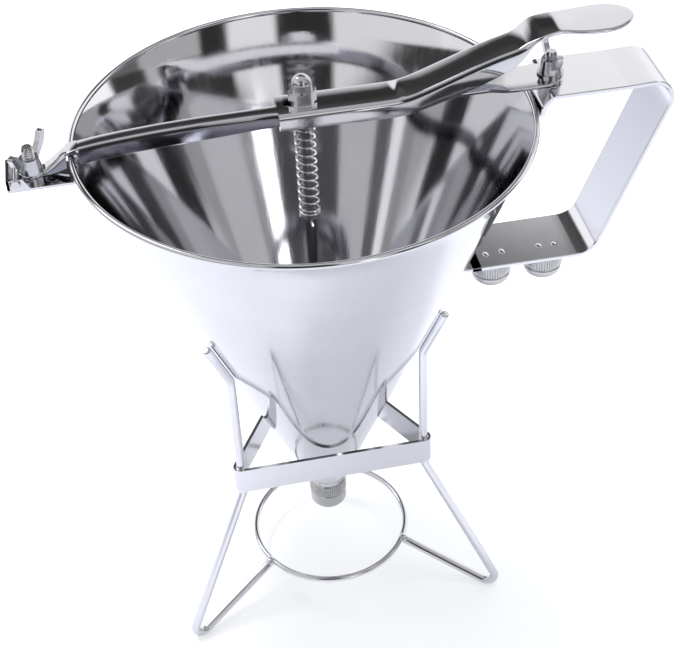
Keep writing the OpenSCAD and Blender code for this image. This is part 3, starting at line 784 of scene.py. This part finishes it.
def knurled(centre, z, grip, nose, name, body, node_name):
    """A nozzle: a turned cup with a rounded nose, its grip band cut with a straight knurl."""
    flutes, height, radius, bore = 50, 16.0, 9.1, 4.6
    around = flutes * 6
    neck, grip_z = radius - 0.35, height - grip
    profile = [(bore, 0)] + [(neck - nose + nose * math.sin(math.radians(10 * i)),
                              nose - nose * math.cos(math.radians(10 * i))) for i in range(10)]
    profile += [(neck, grip_z - 0.9), (neck - 0.5, grip_z - 0.5),
                (neck - 0.5, grip_z - 0.1), (radius - 0.1, grip_z + 0.4)]
    first = len(profile)
    profile += [(radius, grip_z + 0.5 + (grip - 1.0) * k / 8) for k in range(9)]
    last = len(profile)
    profile += [(radius - 0.5, height), (8.2, height), (8.2, nose + 0.8), (bore, 3)]
    verts, faces = turned((centre, 0, z), profile, around)
    count = len(profile)
    for i in range(around):
        if i % 6 < 2:
            for k in range(first + 1, last - 1):
                v = verts[i * count + k]
                way = Vector((v.x - (centre * MM + AXIS_X), v.y, 0)).normalized()
                verts[i * count + k] = v - way * 0.45 * MM
    return built(name, (verts, faces), MATERIALS["knurled_steel"], body, node_name, sharp=28)


class DISPENSER_OT_nozzles(bpy.types.Operator):
    """Turn and knurl the fitted and the spare nozzles"""
    bl_idname = "dispenser.nozzles"
    bl_label = "Nozzles"

    def execute(self, context):
        for centre, z, grip, nose, name, body, node_name in (
                (0, 37, 7.0, 3.0, "nozzle_on_outlet", "fitted_nozzle", "nozzle_fitted"),
                (80.5, 164.6, 10.5, 3.6, "nozzle_spare_inner", "inner_nozzle", "spare_inner"),
                (104.5, 164.6, 10.5, 3.6, "nozzle_spare_outer", "outer_nozzle", "spare_outer")):
            knurled(centre, z, grip, nose, name, body, node_name)
        return {"FINISHED"}


def coil_tree(name, material):
    """A wound wire spring: an open coil between two closed end coils."""
    tree = bpy.data.node_groups.new(name, "GeometryNodeTree")
    tree.interface.new_socket("Geometry", in_out="INPUT", socket_type="NodeSocketGeometry")
    for label in ("Radius", "Wire", "Height", "Turns"):
        tree.interface.new_socket(label, in_out="INPUT", socket_type="NodeSocketFloat")
    tree.interface.new_socket("Geometry", in_out="OUTPUT", socket_type="NodeSocketGeometry")
    given = tree.nodes.new("NodeGroupInput")
    radius, wire, height, turns = (Sock(tree, given.outputs[k]) for k in range(1, 5))
    ring = node(tree, "GeometryNodeCurvePrimitiveCircle", values={"Resolution": 12, "Radius": wire / 2})
    joined_up = tree.nodes.new("GeometryNodeJoinGeometry")
    pitch = wire * 1.06
    middle = height - pitch * 2 - wire
    start = wire / 2
    for low, rise, winds in ((start, pitch, 1.0), (start + pitch, middle, turns),
                             (start + pitch + middle, pitch, 1.0)):
        spiral = node(tree, "GeometryNodeCurveSpiral", values={
            "Resolution": 36, "Rotations": winds, "Start Radius": radius, "End Radius": radius, "Height": rise})
        lift = node(tree, "ShaderNodeCombineXYZ", values={2: low})
        moved = node(tree, "GeometryNodeTransform", values={"Geometry": spiral, "Translation": lift})
        skin = node(tree, "GeometryNodeCurveToMesh", values={
            "Curve": moved, "Profile Curve": ring, "Fill Caps": True})
        tree.links.new(skin.link, joined_up.inputs[0])
    real = node(tree, "GeometryNodeRealizeInstances", values={"Geometry": Sock(tree, joined_up.outputs[0])})
    smooth = node(tree, "GeometryNodeSetShadeSmooth", values={"Geometry": real})
    done = node(tree, "GeometryNodeSetMaterial", values={"Geometry": smooth, "Material": material})
    tree.links.new(done.link, tree.nodes.new("NodeGroupOutput").inputs[0])
    return tree


class DISPENSER_OT_spring(bpy.types.Operator):
    """Wind the return spring"""
    bl_idname = "dispenser.spring"
    bl_label = "Return spring"

    def execute(self, context):
        top, length, outer, turns, lift = 0.2664, 0.051, 0.0092, 12.0, 0.0055
        wire = context.scene.dispenser_sizes.spring_wire
        spring = mesh_object("return_spring", [(0, 0, 0)], [])
        coil = spring.modifiers.new("coil", "NODES")
        tree = coil_tree("coil", MATERIALS["spring_wire"])
        coil.node_group = tree
        inputs = [item for item in tree.interface.items_tree if item.in_out == "INPUT"][1:]
        for item, value in zip(inputs, ((outer - wire) / 2, wire, length, turns)):
            coil[item.identifier] = value
        bpy.context.view_layer.update()
        mesh = bpy.data.meshes.new_from_object(spring.evaluated_get(bpy.context.evaluated_depsgraph_get()))
        spring.modifiers.clear()
        mesh.transform(Matrix.Translation((AXIS_X, 0, top - length)))
        spring.data = mesh
        if not mesh.materials:
            mesh.materials.append(MATERIALS["spring_wire"])
        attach(spring, "funnel")
        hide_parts("rod_spring")
        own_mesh(spring)
        return {"FINISHED"}


def threaded(x, low, high, radius, pitch=0.8, depth=0.35):
    """A threaded stud: fine ridges between a plain foot and a chamfered end."""
    crest = 0.12
    profile = [(0.01, low), (radius, low)]
    z = low + 0.3
    while z + pitch < high - 0.5:
        profile += [(radius, z), (radius, z + crest), (radius - depth, z + pitch / 2),
                    (radius, z + pitch - crest)]
        z += pitch
    profile += [(radius, z), (radius - 0.6, high), (0.01, high)]
    return turned((x, 0, 0), profile, 48)


class DISPENSER_OT_studs(bpy.types.Operator):
    """Cut the threads of the two clamp studs"""
    bl_idname = "dispenser.studs"
    bl_label = "Threaded studs"

    def execute(self, context):
        for x, low, high, name, node_name in ((-110, 251.7, 266.0, "thread_left", "left_stud"),
                                              (103, 266.4, 278.4, "thread_right", "right_stud")):
            built(name, threaded(x, low, high, 2.5), MATERIALS["turned_steel"], "funnel",
                  node_name, sharp=20)
        return {"FINISHED"}


def bead(place, size, around=20, rings=10):
    """A low rounded bead of weld, in mm, standing on the plane z of its place."""
    out = []
    for k in range(rings + 1):
        a = math.pi * k / rings
        r = max(math.sin(a), 0.02)
        out.append([at(place[0] + size[0] * r * math.cos(2 * math.pi * i / around),
                       place[1] + size[1] * r * math.sin(2 * math.pi * i / around),
                       place[2] - size[2] * math.cos(a)) for i in range(around)])
    return lofted(out)


class DISPENSER_OT_bracket(bpy.types.Operator):
    """Fold the clamp bracket under the left end of the crossbar"""
    bl_idname = "dispenser.bracket"
    bl_label = "Clamp bracket"

    def execute(self, context):
        low, thick, half, left, right = 250.5, 1.2, 8.0, -120.0, -89.7
        top, lip_top = low + thick, low + 5.6
        strip = prism([(left, low), (right, low), (right, top), (left, top)], -half, half, "y")
        lip = prism([(left, top), (left + thick, top), (left + thick, lip_top), (left, lip_top)], -half, half, "y")
        ears = [prism([(left, top), (left + 9, top), (left + 6.4, lip_top + 0.2), (left, lip_top)],
                      side - thick / 2, side + thick / 2, "y") for side in (thick / 2 - half, half - thick / 2)]
        # painted shade: the bracket gets the darkened copy of the sheet steel
        built("bracket_sheet", joined(strip, lip, *ears), MATERIALS["dark_strip"], "funnel",
              "clamp_bracket", sharp=20)
        return {"FINISHED"}


class DISPENSER_OT_welds(bpy.types.Operator):
    """Add the spot welds on the handle and the fillets of weld where the stand's wires meet"""
    bl_idname = "dispenser.welds"
    bl_label = "Welds"

    def execute(self, context):
        spots = [bead((x, y, 183.0), (1.3, 2.0, 0.45)) for x, y in
                 ((76.0, -6.5), (83.5, -6.0), (100.5, -6.0), (107.5, -6.5))]
        built("weld_spots", joined(*spots), MATERIALS["polished_strip"], "funnel")
        fillets = []
        for angle in (210, 330, 90):
            a = math.radians(angle)
            for r, z, size in ((38.9, 19.1, (2.6, 2.6, 1.9)), (51.2, 82.0, (2.2, 2.2, 1.2)),
                               (51.2, 94.0, (2.2, 2.2, 1.2))):
                fillets.append(bead((r * math.cos(a), r * math.sin(a), z), size))
        built("weld_fillets", joined(*fillets), MATERIALS["drawn_wire"], "stand")
        return {"FINISHED"}


class DISPENSER_PT_panel(bpy.types.Panel):
    """The steps that dress the dispenser"""
    bl_label = "Batter dispenser"
    bl_idname = "DISPENSER_PT_panel"
    bl_space_type = "VIEW_3D"
    bl_region_type = "UI"
    bl_category = "Dispenser"

    def draw(self, context):
        layout = self.layout
        for step in STEPS:
            layout.operator("dispenser." + step)
        scene = context.scene
        for group in (scene.dispenser_finish, scene.dispenser_stage, scene.dispenser_sizes):
            for name in group.__annotations__:
                layout.prop(group, name)


STEPS = ("stage", "metal", "cone", "wires", "handle", "lever", "crossbar", "nozzles", "spring", "studs",
         "bracket", "welds")
CLASSES = (
    DispenserFinish, DispenserStage, DispenserSizes, DISPENSER_OT_stage, DISPENSER_OT_metal,
    DISPENSER_OT_cone, DISPENSER_OT_wires, DISPENSER_OT_handle, DISPENSER_OT_lever,
    DISPENSER_OT_crossbar, DISPENSER_OT_nozzles, DISPENSER_OT_spring, DISPENSER_OT_studs,
    DISPENSER_OT_bracket, DISPENSER_OT_welds, DISPENSER_PT_panel)


def register():
    for cls in CLASSES:
        bpy.utils.register_class(cls)
    bpy.types.Scene.dispenser_finish = bpy.props.PointerProperty(type=DispenserFinish)
    bpy.types.Scene.dispenser_stage = bpy.props.PointerProperty(type=DispenserStage)
    bpy.types.Scene.dispenser_sizes = bpy.props.PointerProperty(type=DispenserSizes)


def unregister():
    del bpy.types.Scene.dispenser_sizes
    del bpy.types.Scene.dispenser_stage
    del bpy.types.Scene.dispenser_finish
    for cls in reversed(CLASSES):
        bpy.utils.unregister_class(cls)


def main():
    register()
    for step in STEPS:
        getattr(bpy.ops.dispenser, step)()
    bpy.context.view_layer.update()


if __name__ == "__main__":
    main()
